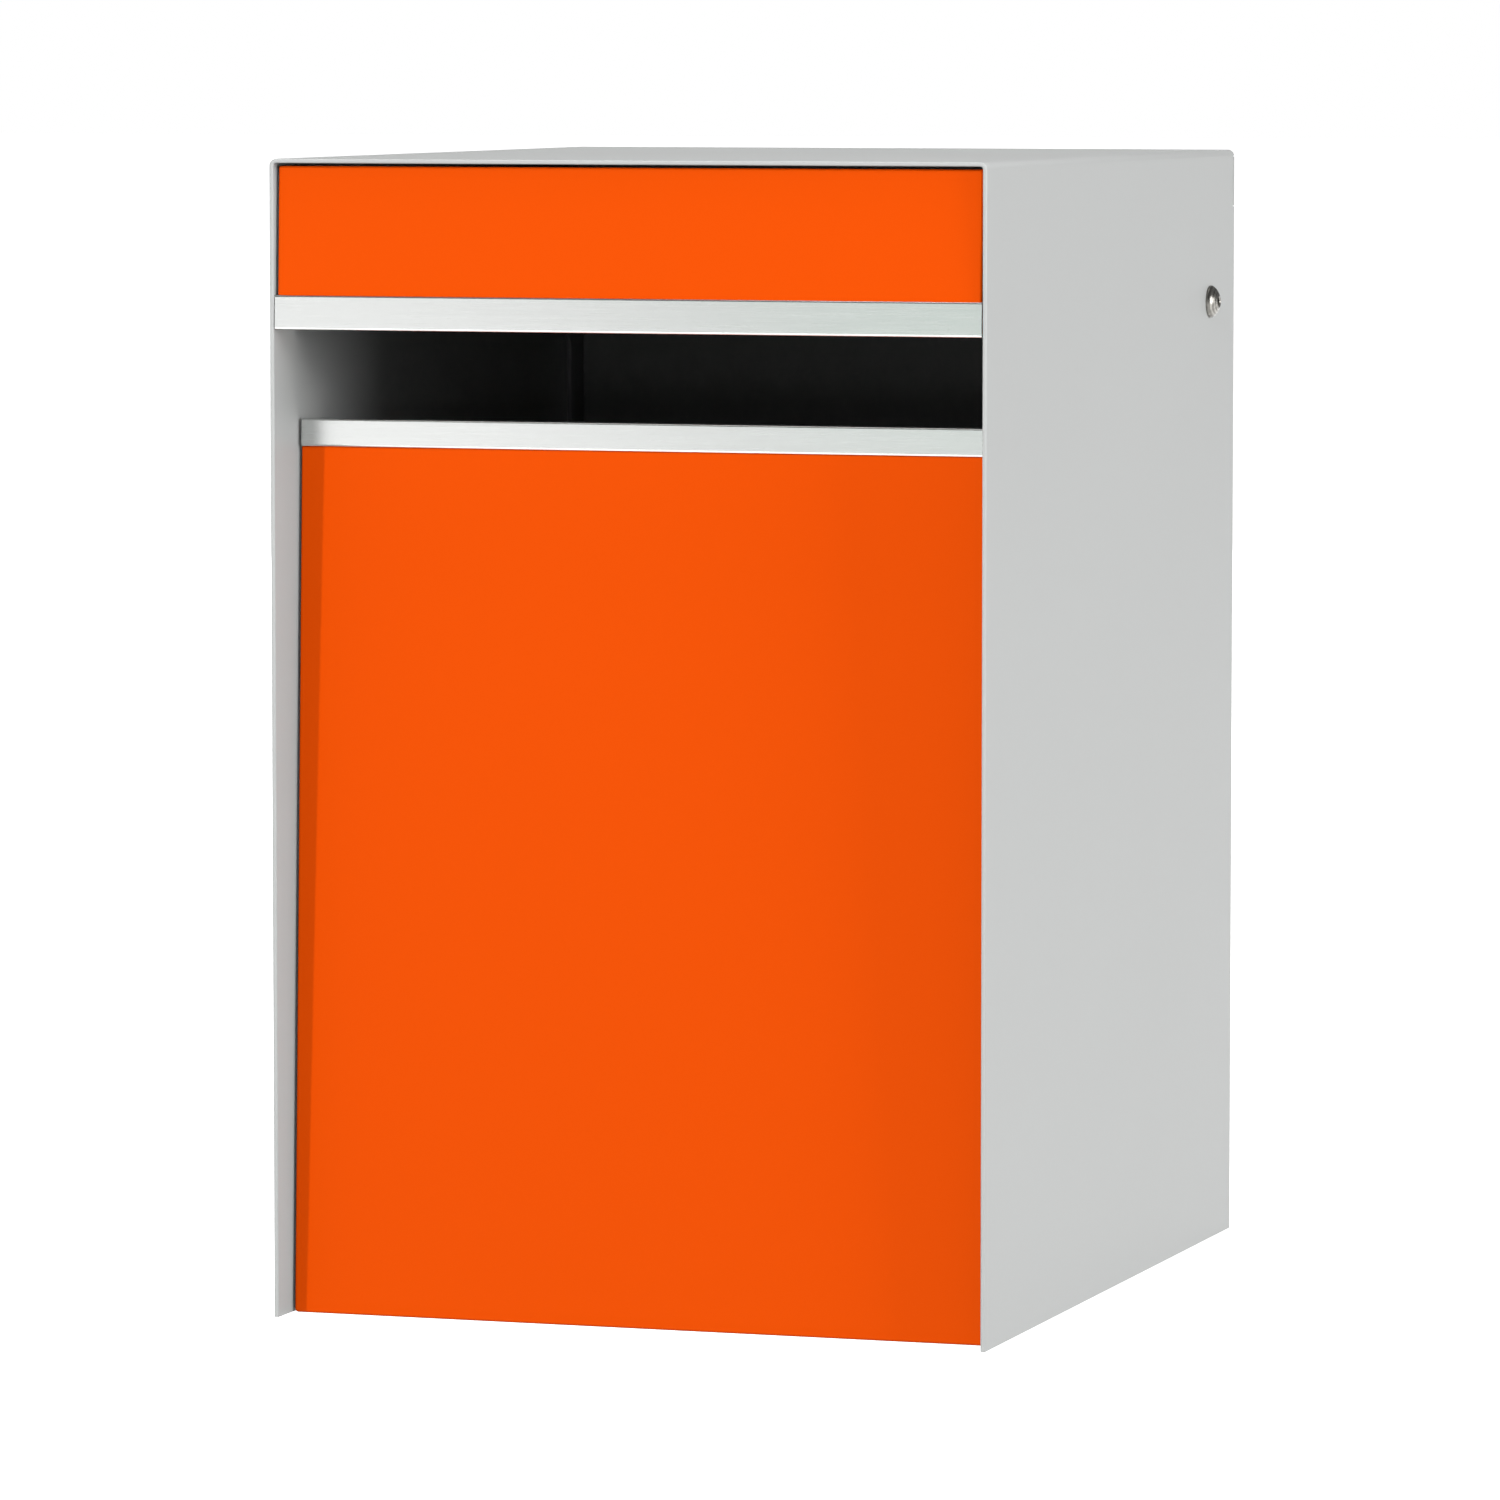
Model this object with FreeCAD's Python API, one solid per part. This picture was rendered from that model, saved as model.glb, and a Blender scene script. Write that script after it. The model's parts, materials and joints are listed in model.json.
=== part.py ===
"""Free-standing sheet-metal mailbox with an open letter slot and a top-hung rear door.

Units are millimetres. X points to the right of somebody facing the slot, Y to the rear, Z up.
The origin is the middle of the underside, so the front edge of the casing is at -depth / 2.

A folded casing (left wall, roof, right wall) carries two painted front panels that lean back, a
floor pan with the mounting holes, and a rear door that hangs on two pivot screws and is held by
a cam lock. The pieces that swing with the door are at rest when the door is shut and the lock is
turned to open, so the door is free to swing.
"""
import FreeCAD
import Part
import math
import os

from FreeCAD import Vector

# ---- casing ------------------------------------------------------------------------------------
width = 250.0                   # outside of the left wall to the outside of the right wall
depth = 310.0                   # front edge to rear edge
height = 390.0                  # underside to the top of the roof
casing_sheet = 1.5              # thickness of the coated casing sheet
casing_fold = 2.5               # outer radius of the folds between walls and roof
cut_edge_round = 0.5            # rounding that the coating leaves on the casing's cut front edges
roof_lip_height = 20.0          # lip folded down behind the rear door, from the roof's top
roof_lip_relief = 0.3           # cut between the lip's ends and the walls that they lap over

# ---- painted front panels ----------------------------------------------------------------------
panel_sheet = 1.5               # thickness of the fascia and the lower panel
panel_gap = 0.8                 # air between a panel and a wall, the height of a stud's base
panel_fold = 0.8                # outer radius of the panels' crisp, grooved folds
panel_lean = 1.94               # degrees by which both front panels lean back
fold_relief = 0.5               # gap between two flanges that meet at a corner
panel_corner = 1.3              # rounded lower corners of the lower panel
fascia_top_gap = 0.9            # air between the fascia and the roof
fascia_side_flange = 24.0       # depth of the fascia's side flanges
fascia_top_flange = 12.0
fascia_bottom_flange = 22.0
lower_panel_recess = 13.0       # casing front edge to the lower panel's bottom edge
lower_side_flange = 20.0
lower_top_flange = 18.0
lower_lip_drop = 12.0           # lip turned down at the rear of the lower panel's top flange

# ---- letter slot and its stainless trims -------------------------------------------------------
slot_drop = 57.0                # roof's top to the slot's upper edge
slot_height = 30.4              # clear height of the slot
trim_sheet = 0.8
trim_fold = 0.75                # outer radius of the trims' folds and of their dressed front edges
tape_thickness = 0.3            # bonding tape between a trim and its panel
tape_edge_inset = 1.5           # tape stops short of the trim's edge
upper_trim_height = 11.6
upper_trim_gap = 0.3            # air between the upper trim's ends and the walls
lower_trim_height = 9.5
lower_trim_gap = 1.2            # air between the lower trim's ends and the walls
trim_lip_depth = 20.0           # part of each trim that turns into the slot

# ---- floor pan ---------------------------------------------------------------------------------
floor_sheet = 2.0
floor_fold = 2.5                # outer radius of the floor's folds
floor_flange_height = 22.0
floor_front_gap = 2.5           # lower panel's inner face to the floor's front flange, at the floor
floor_side_start = 4.0          # gap from the lower panel's side flanges to the floor's
floor_rear_side_gap = 1.0       # the side flanges stop this far in front of the rear flange
floor_rear_inset = 21.0         # casing rear edge to the rear face of the floor's rear flange
floor_end_gap = 0.7             # ends of the front and rear flanges to the lower panel's side flanges
mount_spacing_x = 100.0         # mounting holes in the floor
mount_spacing_y = 140.0
mount_hole_radius = 3.5

# ---- rear door ---------------------------------------------------------------------------------
door_sheet = 1.5
door_inset = 3.0                # casing rear edge to the door's outer face
door_side_gap = 1.2             # air between the door's side flange and a wall
door_top_overlap = 4.0          # the roof lip covers this much of the door
door_bottom = 4.0               # height of the door's bottom edge
door_flange = 15.5              # depth of the side and bottom flanges
door_top_flange = 12.0
door_lip_height = 14.0          # lip turned up from the bottom flange
ear_radius = 14.0               # rounded ear around each pivot
ear_fillet = 6.0                # where an ear runs into the side flange

# ---- pivots ------------------------------------------------------------------------------------
pivot_inset = 33.0              # pivot axis to the casing's rear edge
pivot_drop = 53.5               # pivot axis to the roof's top
pivot_head_radius = 5.7
pivot_head_height = 4.0
pivot_head_rim = 1.0            # straight rim under the head's dome
pivot_socket_flats = 3.0
pivot_socket_depth = 1.8
pivot_shoulder_radius = 3.0
pivot_wall_clearance = 0.2      # shoulder in the wall, radial
pivot_running_clearance = 0.05  # shoulder in the bush, radial
pivot_thread_radius = 2.5
pivot_thread_length = 7.5
bush_wall = 1.0
bush_flange = 1.0
bush_flange_radius = 6.0
bush_end_play = 0.3             # bush end to the washer
bush_stand_out = 0.5            # bush end beyond the ear's inner face
pivot_washer_radius = 5.0
pivot_washer_thickness = 1.0
pivot_washer_clearance = 0.3    # washer on the thread, radial
pivot_nut_flats = 8.0
pivot_nut_height = 5.0

# ---- hidden M4 fixings -------------------------------------------------------------------------
stud_radius = 2.0
stud_base_radius = 2.9
stud_length = 12.0
stud_hole_clearance = 0.3       # radial
washer_radius = 4.5
washer_thickness = 0.8
nut_flats = 7.0
nut_height = 3.2
thread_clearance = 0.02         # radial, nut bore on its thread
fascia_fixing_rows = 2
lower_panel_fixing_rows = 3
floor_fixing_rows = 2
fascia_fixing_end = 14.0        # first and last row to the panel's ends
lower_panel_fixing_end = 45.0
floor_fixing_end = 40.0

# ---- rubber bumpers ----------------------------------------------------------------------------
bumper_radius = 4.5
bumper_clearance = 0.3          # shut door to bumper
bumper_spacing = 160.0
bumper_height = 11.0            # centre above the underside

# ---- cam lock ----------------------------------------------------------------------------------
lock_height = 45.0              # lock axis above the underside
lock_rim_radius = 9.5
lock_rim_thickness = 2.0
lock_rim_round = 0.5            # rounded edge of the rim's face
lock_barrel_radius = 8.0
lock_hole_clearance = 0.1       # radial, barrel in the door
plug_radius = 5.9
plug_clearance = 0.08           # radial, plug in the barrel
plug_recess = 0.3               # plug's face behind the rim's face
key_slot_width = 1.6
key_slot_length = 7.0
key_slot_depth = 12.0
lock_nut_flats = 21.0
lock_nut_height = 3.0
cam_thickness = 2.0
cam_clearance = 0.6             # cam to the floor's rear flange, and to the barrel's end
cam_length = 36.0               # lock axis to the cam's tip
cam_width = 12.0
cam_tip_radius = 4.0
cam_square = 6.0                # square on the plug's end
cam_square_clearance = 0.05     # each side
cam_screw_radius = 2.0
cam_screw_length = 10.0
cam_screw_head_radius = 3.8
cam_screw_head_height = 2.6
cam_screw_head_round = 0.5
cam_screw_socket_flats = 2.5
cam_screw_socket_depth = 1.4

# ---- places that follow from the sizes ---------------------------------------------------------
front = -depth / 2
rear = depth / 2
wall_outer = width / 2
wall_inner = wall_outer - casing_sheet
roof_inner = height - casing_sheet
panel_half_width = wall_inner - panel_gap
slot_top = height - slot_drop
slot_bottom = slot_top - slot_height
trim_stack = trim_sheet + tape_thickness
lower_panel_front = front + lower_panel_recess
pivot_y = rear - pivot_inset
pivot_z = height - pivot_drop
door_outer_face = rear - door_inset
door_half_width = wall_inner - door_side_gap
door_top = height - roof_lip_height + door_top_overlap
floor_flange_rear = rear - floor_rear_inset
cam_rear_face = floor_flange_rear - floor_sheet - cam_clearance
barrel_end = cam_rear_face + cam_clearance / 2
lean = math.radians(panel_lean)


# ---- general shapes ----------------------------------------------------------------------------
def block(low, high):
    """Box between two opposite corners."""
    size = Vector(*high) - Vector(*low)
    return Part.makeBox(size.x, size.y, size.z, Vector(*low))


def bar(radius, start, end):
    """Cylinder between two points."""
    along = Vector(*end) - Vector(*start)
    return Part.makeCylinder(radius, along.Length, Vector(*start), along)


def hexagon_bar(flats, start, end):
    """Hexagonal prism between two points, measured across its flats."""
    along = Vector(*end) - Vector(*start)
    corner_radius = flats / 2 / math.cos(math.pi / 6)
    turns = [i * math.pi / 3 for i in range(6)]
    corners = [Vector(corner_radius * math.cos(turn), corner_radius * math.sin(turn), 0) for turn in turns]
    prism = Part.Face(Part.makePolygon(corners + corners[:1])).extrude(Vector(0, 0, along.Length))
    prism.Placement = FreeCAD.Placement(Vector(*start), FreeCAD.Rotation(Vector(0, 0, 1), along))
    return prism


def union(shapes):
    """One solid from touching shapes, without the seams between them."""
    return shapes[0].fuse(shapes[1:]).removeSplitter() if len(shapes) > 1 else shapes[0]


def round_edges(shape, radius, chosen):
    """Round the edges that the test `chosen` picks by their bounding box."""
    edges = [edge for edge in shape.Edges if chosen(edge.BoundBox)]
    return shape.makeFillet(radius, edges)


def near(value, target):
    return abs(value - target) < 1e-4


def lean_back(shape, y, z):
    """Tip a shape backwards by the panels' lean, about the X line through y, z."""
    leaned = shape.copy()
    leaned.rotate(Vector(0, y, z), Vector(1, 0, 0), -panel_lean)
    return leaned


def leaned_point(y, z, pivot):
    """Where a point of an upright panel goes when the panel leans back."""
    dy = y - pivot[0]
    dz = z - pivot[1]
    return (pivot[0] + dy * math.cos(lean) + dz * math.sin(lean),
            pivot[1] - dy * math.sin(lean) + dz * math.cos(lean))


def spread(low, high, count):
    """Evenly spaced values from low to high."""
    return [low + (high - low) * i / (count - 1) for i in range(count)]


def both_sides(make, places):
    """Make the same piece on the right (+1) and left (-1) wall at each (y, z) place."""
    return [make(side, y, z) for side in (1, -1) for y, z in places]


def tray(half_width, face, bottom, top, side_flange, top_flange, bottom_flange, sheet):
    """Upright folded panel: a front sheet at y = face, with flanges that run to the rear."""
    inner_half = half_width - sheet - fold_relief
    pieces = [block((-half_width, face, bottom), (half_width, face + sheet, top))]
    for side in (1, -1):
        x_outer = side * half_width
        x_inner = side * (half_width - sheet)
        low_x = min(x_outer, x_inner)
        pieces.append(block((low_x, face, bottom), (low_x + sheet, face + side_flange, top)))
    if top_flange:
        pieces.append(block((-inner_half, face, top - sheet), (inner_half, face + top_flange, top)))
    if bottom_flange:
        pieces.append(block((-inner_half, face, bottom),
                            (inner_half, face + bottom_flange, bottom + sheet)))
    return union(pieces)


# ---- casing ------------------------------------------------------------------------------------
def fold_roof_lip(shell):
    """Fold the roof down behind the door. The lip's ends lap over the cut-back rear edges of the walls."""
    lip_bottom = height - roof_lip_height
    fold_start = rear - 2 * casing_fold
    fold_half = wall_outer - casing_fold
    sheet_face = rear - casing_sheet
    lip = block((-fold_half, fold_start, lip_bottom), (fold_half, rear, height))
    lip = round_edges(lip, casing_fold,
                      lambda b: near(b.YMin, rear) and near(b.ZMin, height) and near(b.ZMax, height))
    hollow = block((-fold_half, 0, 0), (fold_half, sheet_face, roof_inner))
    hollow = round_edges(hollow, casing_fold - casing_sheet,
                         lambda b: near(b.YMin, sheet_face) and near(b.ZMin, roof_inner))
    lip = lip.cut(hollow)
    laps = block((-wall_outer, sheet_face, lip_bottom), (wall_outer, rear, height - casing_fold))
    fold_seat = block((-fold_half, fold_start, lip_bottom), (fold_half, rear + 1, height + 1))
    lap_seat = block((-wall_outer - 1, sheet_face - roof_lip_relief, lip_bottom - roof_lip_relief),
                     (wall_outer + 1, rear + 1, height - casing_fold + roof_lip_relief))
    return union([shell.cut(fold_seat).cut(lap_seat), lip, laps])


def casing():
    shell = block((-wall_outer, front, 0), (wall_outer, rear, height))
    shell = round_edges(shell, casing_fold,
                        lambda b: near(b.ZMin, height) and near(b.XMin, b.XMax))
    inside = block((-wall_inner, front, -1), (wall_inner, rear, roof_inner))
    inside = round_edges(inside, casing_fold - casing_sheet,
                         lambda b: near(b.ZMin, roof_inner) and near(b.XMin, b.XMax))
    shell = shell.cut(inside)
    shell = round_edges(shell, cut_edge_round,
                        lambda b: near(b.YMax, front) and not near(b.ZMax, 0))

    shell = fold_roof_lip(shell)
    for side in (1, -1):
        hole_radius = pivot_shoulder_radius + pivot_wall_clearance
        shell = shell.cut(bar(hole_radius, (side * (wall_inner - 1), pivot_y, pivot_z),
                              (side * (wall_outer + 1), pivot_y, pivot_z)))
    return shell


# ---- upper fascia, made upright on the slot's top edge and then leaned back ----------------------
fascia_pivot = (front, slot_top)
fascia_face = front + trim_stack
fascia_bottom = slot_top + trim_stack
fascia_top = slot_top + (roof_inner - fascia_top_gap - slot_top) / math.cos(lean)
fascia_fixings = [leaned_point(fascia_face + fascia_side_flange * 0.6, z, fascia_pivot)
                  for z in spread(fascia_bottom + fascia_fixing_end, fascia_top - fascia_fixing_end,
                                  fascia_fixing_rows)]


def upper_fascia():
    panel = tray(panel_half_width, fascia_face, fascia_bottom, fascia_top,
                 fascia_side_flange, fascia_top_flange, fascia_bottom_flange, panel_sheet)
    panel = round_edges(panel, panel_fold, lambda b: near(b.YMax, fascia_face))
    return drill_flanges(lean_back(panel, *fascia_pivot), fascia_fixings)


def upper_trim():
    half = wall_inner - upper_trim_gap
    front_leg = block((-half, front, slot_top), (half, front + trim_sheet, slot_top + upper_trim_height))
    slot_leg = block((-half, front, slot_top), (half, front + trim_lip_depth, slot_top + trim_sheet))
    trim = union([front_leg, slot_leg])
    trim = round_edges(trim, trim_fold,
                       lambda b: near(b.YMax, front) and near(b.ZMin, b.ZMax))
    return lean_back(trim, *fascia_pivot)


def upper_trim_tape():
    half = panel_half_width - tape_edge_inset
    tape = block((-half, front + trim_sheet, fascia_bottom + panel_fold),
                 (half, fascia_face, slot_top + upper_trim_height - tape_edge_inset))
    return lean_back(tape, *fascia_pivot)


# ---- lower panel, made upright on its bottom edge and then leaned back ---------------------------
lower_pivot = (lower_panel_front, 0.0)
lower_top = slot_bottom - trim_stack
lower_fixings = [leaned_point(lower_panel_front + lower_side_flange * 0.6, z, lower_pivot)
                 for z in spread(lower_panel_fixing_end, lower_top - lower_panel_fixing_end,
                                 lower_panel_fixing_rows)]


def lower_front_panel():
    panel = tray(panel_half_width, lower_panel_front, 0, lower_top,
                 lower_side_flange, lower_top_flange, 0, panel_sheet)
    lip_half = panel_half_width - panel_sheet - fold_relief
    lip_rear = lower_panel_front + lower_top_flange
    lip = block((-lip_half, lip_rear - panel_sheet, lower_top - lower_lip_drop),
                (lip_half, lip_rear, lower_top))
    panel = union([panel, lip])
    panel = round_edges(panel, panel_corner,
                        lambda b: near(b.ZMax, 0) and near(b.XMin, b.XMax)
                        and near(abs(b.XMax), panel_half_width))
    panel = round_edges(panel, panel_fold,
                        lambda b: near(b.YMax, lower_panel_front) and not near(b.ZMax, 0))
    panel = lean_back(panel, *lower_pivot)
    below = block((-width, front, -10), (width, rear, 0))
    return drill_flanges(panel.cut(below), lower_fixings)


def lower_trim():
    half = wall_inner - lower_trim_gap
    face = lower_panel_front - trim_stack
    front_leg = block((-half, face, slot_bottom - lower_trim_height),
                      (half, face + trim_sheet, slot_bottom))
    slot_leg = block((-half, face, slot_bottom - trim_sheet), (half, face + trim_lip_depth, slot_bottom))
    trim = union([front_leg, slot_leg])
    trim = round_edges(trim, trim_fold,
                       lambda b: near(b.YMax, face) and near(b.ZMin, b.ZMax))
    return lean_back(trim, *lower_pivot)


def lower_trim_tape():
    half = wall_inner - lower_trim_gap - tape_edge_inset
    tape_bottom = slot_bottom - lower_trim_height + tape_edge_inset
    tape = block((-half, lower_panel_front - tape_thickness, tape_bottom),
                 (half, lower_panel_front, lower_top - panel_fold))
    return lean_back(tape, *lower_pivot)


# ---- floor pan ---------------------------------------------------------------------------------
floor_front = lower_panel_front + panel_sheet + floor_front_gap
floor_side_front = lower_panel_front + lower_side_flange + floor_side_start
floor_side_rear = floor_flange_rear - floor_sheet - floor_rear_side_gap
floor_fixings = [(y, floor_flange_height / 2 + floor_sheet / 2)
                 for y in spread(floor_side_front + floor_fixing_end, floor_side_rear - floor_fixing_end,
                                 floor_fixing_rows)]


def floor_pan():
    """Two crossed channels: one turns up at the front and rear, the other along the walls."""
    end_half = panel_half_width - panel_sheet - floor_end_gap
    rear_inner = floor_flange_rear - floor_sheet
    ends = union([block((-end_half, floor_front, 0), (end_half, floor_flange_rear, floor_sheet)),
                  block((-end_half, floor_front, 0),
                        (end_half, floor_front + floor_sheet, floor_flange_height)),
                  block((-end_half, rear_inner, 0), (end_half, floor_flange_rear, floor_flange_height))])
    ends = round_edges(ends, floor_fold,
                       lambda b: near(b.ZMax, 0)
                       and (near(b.YMax, floor_front) or near(b.YMin, floor_flange_rear)))
    sides = union([block((-panel_half_width, floor_side_front, 0),
                         (panel_half_width, floor_side_rear, floor_sheet)),
                   block((-panel_half_width, floor_side_front, 0),
                         (floor_sheet - panel_half_width, floor_side_rear, floor_flange_height)),
                   block((panel_half_width - floor_sheet, floor_side_front, 0),
                         (panel_half_width, floor_side_rear, floor_flange_height))])
    sides = round_edges(sides, floor_fold,
                        lambda b: near(b.ZMax, 0) and near(b.XMin, b.XMax))
    pan = union([ends, sides])
    for x in (-mount_spacing_x / 2, mount_spacing_x / 2):
        for y in (-mount_spacing_y / 2, mount_spacing_y / 2):
            pan = pan.cut(bar(mount_hole_radius, (x, y, -1), (x, y, floor_sheet + 1)))
    return drill_flanges(pan, floor_fixings)


# ---- hidden fixings: weld studs on the walls, washers and nuts -----------------------------------
def drill_flanges(panel, fixings):
    """Clearance holes for the studs, through both side flanges."""
    radius = stud_radius + stud_hole_clearance
    for side in (1, -1):
        for y, z in fixings:
            panel = panel.cut(bar(radius, (side * (panel_half_width - 2 * floor_sheet), y, z),
                                  (side * (panel_half_width + 1), y, z)))
    return panel


def weld_stud(side, y, z):
    base = bar(stud_base_radius, (side * wall_inner, y, z), (side * panel_half_width, y, z))
    shank = bar(stud_radius, (side * wall_inner, y, z), (side * (wall_inner - stud_length), y, z))
    return union([base, shank])


def stud_washer(sheet):
    def make(side, y, z):
        seat = panel_half_width - sheet
        disc = bar(washer_radius, (side * seat, y, z), (side * (seat - washer_thickness), y, z))
        hole = bar(stud_radius + stud_hole_clearance, (side * wall_inner, y, z), (0, y, z))
        return disc.cut(hole)
    return make


def stud_nut(sheet):
    def make(side, y, z):
        seat = panel_half_width - sheet - washer_thickness
        body = hexagon_bar(nut_flats, (side * seat, y, z), (side * (seat - nut_height), y, z))
        hole = bar(stud_radius + thread_clearance, (side * wall_inner, y, z), (0, y, z))
        return body.cut(hole)
    return make


# ---- rear door, made as a front tray and turned to face the rear ---------------------------------
def rear_door():
    panel = tray(door_half_width, -door_outer_face, door_bottom, door_top,
                 door_flange, door_top_flange, door_flange, door_sheet)
    lip_half = door_half_width - door_sheet - fold_relief
    lip_rear = -door_outer_face + door_flange
    lip = block((-lip_half, lip_rear - door_sheet, door_bottom),
                (lip_half, lip_rear, door_bottom + door_lip_height))
    panel = union([panel, lip])
    panel = round_edges(panel, panel_fold, lambda b: near(b.YMax, -door_outer_face))
    panel.rotate(Vector(0, 0, 0), Vector(0, 0, 1), 180)

    flange_edge = door_outer_face - door_flange
    for side in (1, -1):
        x_outer = side * door_half_width
        x_inner = side * (door_half_width - door_sheet)
        low_x = min(x_outer, x_inner)
        web = block((low_x, pivot_y, pivot_z - ear_radius),
                    (low_x + door_sheet, flange_edge + 1, pivot_z + ear_radius))
        nose = bar(ear_radius, (x_outer, pivot_y, pivot_z), (x_inner, pivot_y, pivot_z))
        panel = union([panel, web, nose])
        panel = round_edges(panel, ear_fillet,
                            lambda b: near(b.YMin, flange_edge) and near(b.YMax, flange_edge)
                            and near(abs(b.ZMax - pivot_z), ear_radius) and near(b.ZMin, b.ZMax)
                            and side * b.XMin > 0)
        hole_radius = pivot_shoulder_radius + pivot_running_clearance + bush_wall
        panel = panel.cut(bar(hole_radius, (side * (door_half_width + 1), pivot_y, pivot_z),
                              (side * (door_half_width - door_sheet - 1), pivot_y, pivot_z)))
    hole = bar(lock_barrel_radius + lock_hole_clearance, (0, door_outer_face + 1, lock_height),
               (0, door_outer_face - door_sheet - 1, lock_height))
    return panel.cut(hole)


# ---- pivot pieces, on the right (+1) and left (-1) wall ------------------------------------------
def pivot_point(side, x):
    return (side * x, pivot_y, pivot_z)


bush_outer_end = door_half_width + bush_flange
bush_inner_end = door_half_width - door_sheet - bush_stand_out
shoulder_end = bush_inner_end - bush_end_play


def pivot_screw(side):
    """Low-domed screw with a hexagon socket, a shoulder and a threaded end."""
    rise = pivot_head_height - pivot_head_rim
    head_end = wall_outer + pivot_head_height
    dome_radius = (pivot_head_radius ** 2 + rise ** 2) / (2 * rise)
    cap = Part.makeSphere(dome_radius, Vector(*pivot_point(side, head_end - dome_radius)))
    disc = bar(pivot_head_radius, pivot_point(side, wall_outer), pivot_point(side, head_end))
    head = disc.common(cap)
    socket = hexagon_bar(pivot_socket_flats, pivot_point(side, head_end - pivot_socket_depth),
                         pivot_point(side, head_end + 1))
    shoulder = bar(pivot_shoulder_radius, pivot_point(side, wall_outer), pivot_point(side, shoulder_end))
    thread = bar(pivot_thread_radius, pivot_point(side, shoulder_end),
                 pivot_point(side, shoulder_end - pivot_thread_length))
    return union([head.cut(socket), shoulder, thread])


def pivot_bush(side):
    bore = pivot_shoulder_radius + pivot_running_clearance
    flange = bar(bush_flange_radius, pivot_point(side, bush_outer_end), pivot_point(side, door_half_width))
    sleeve = bar(bore + bush_wall, pivot_point(side, bush_outer_end), pivot_point(side, bush_inner_end))
    return union([flange, sleeve]).cut(bar(bore, pivot_point(side, wall_outer), pivot_point(side, 0)))


def pivot_washer(side):
    disc = bar(pivot_washer_radius, pivot_point(side, shoulder_end),
               pivot_point(side, shoulder_end - pivot_washer_thickness))
    return disc.cut(bar(pivot_thread_radius + pivot_washer_clearance, pivot_point(side, wall_outer),
                        pivot_point(side, 0)))


def pivot_nut(side):
    seat = shoulder_end - pivot_washer_thickness
    body = hexagon_bar(pivot_nut_flats, pivot_point(side, seat), pivot_point(side, seat - pivot_nut_height))
    return body.cut(bar(pivot_thread_radius + thread_clearance, pivot_point(side, wall_outer),
                        pivot_point(side, 0)))


# ---- rubber bumpers on the floor's rear flange ---------------------------------------------------
def door_bumper(side):
    shut_lip = door_outer_face - door_flange
    x = side * bumper_spacing / 2
    return bar(bumper_radius, (x, floor_flange_rear, bumper_height),
               (x, shut_lip - bumper_clearance, bumper_height))


# ---- cam lock ------------------------------------------------------------------------------------
def lock_point(y):
    return (0, y, lock_height)


def lock_body():
    rim_face = door_outer_face + lock_rim_thickness
    rim = bar(lock_rim_radius, lock_point(door_outer_face), lock_point(rim_face))
    rim = round_edges(rim, lock_rim_round, lambda b: near(b.YMin, rim_face))
    barrel = bar(lock_barrel_radius, lock_point(door_outer_face), lock_point(barrel_end))
    bore = bar(plug_radius + plug_clearance, lock_point(rear), lock_point(barrel_end - 1))
    return union([rim, barrel]).cut(bore)


def lock_nut():
    inner_face = door_outer_face - door_sheet
    body = hexagon_bar(lock_nut_flats, lock_point(inner_face), lock_point(inner_face - lock_nut_height))
    return body.cut(bar(lock_barrel_radius + thread_clearance, lock_point(rear), lock_point(0)))


def lock_plug():
    face = door_outer_face + lock_rim_thickness - plug_recess
    plug = bar(plug_radius, lock_point(face), lock_point(cam_rear_face))
    half_square = cam_square / 2
    square = block((-half_square, cam_rear_face - cam_thickness, lock_height - half_square),
                   (half_square, cam_rear_face, lock_height + half_square))
    slot = block((-key_slot_length / 2, face - key_slot_depth, lock_height - key_slot_width / 2),
                 (key_slot_length / 2, face + 1, lock_height + key_slot_width / 2))
    screw_hole = bar(cam_screw_radius + thread_clearance, lock_point(cam_rear_face - cam_thickness - 1),
                     lock_point(cam_rear_face - cam_thickness + cam_screw_length))
    return union([plug, square]).cut(slot).cut(screw_hole)


def lock_cam():
    """Flat cam that points to +X while the door is free, and down when it is locked."""
    y_low = cam_rear_face - cam_thickness
    half = cam_width / 2
    tip = cam_length - cam_tip_radius
    hub = bar(half, lock_point(y_low), lock_point(cam_rear_face))
    arm = block((0, y_low, lock_height - cam_tip_radius),
                (tip, cam_rear_face, lock_height + cam_tip_radius))
    nose = bar(cam_tip_radius, (tip, y_low, lock_height), (tip, cam_rear_face, lock_height))
    reach = cam_square / 2 + cam_square_clearance
    square = block((-reach, y_low - 1, lock_height - reach),
                   (reach, cam_rear_face + 1, lock_height + reach))
    return union([hub, arm, nose]).cut(square)


def cam_screw():
    seat = cam_rear_face - cam_thickness
    head = bar(cam_screw_head_radius, lock_point(seat), lock_point(seat - cam_screw_head_height))
    head = round_edges(head, cam_screw_head_round, lambda b: near(b.YMax, seat - cam_screw_head_height))
    socket = hexagon_bar(cam_screw_socket_flats, lock_point(seat - cam_screw_head_height - 1),
                         lock_point(seat - cam_screw_head_height + cam_screw_socket_depth))
    shank = bar(cam_screw_radius, lock_point(seat), lock_point(seat + cam_screw_length - 1))
    return union([head.cut(socket), shank])


# ---- the assembly --------------------------------------------------------------------------------
def each_side(make):
    return [make(1), make(-1)]


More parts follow.
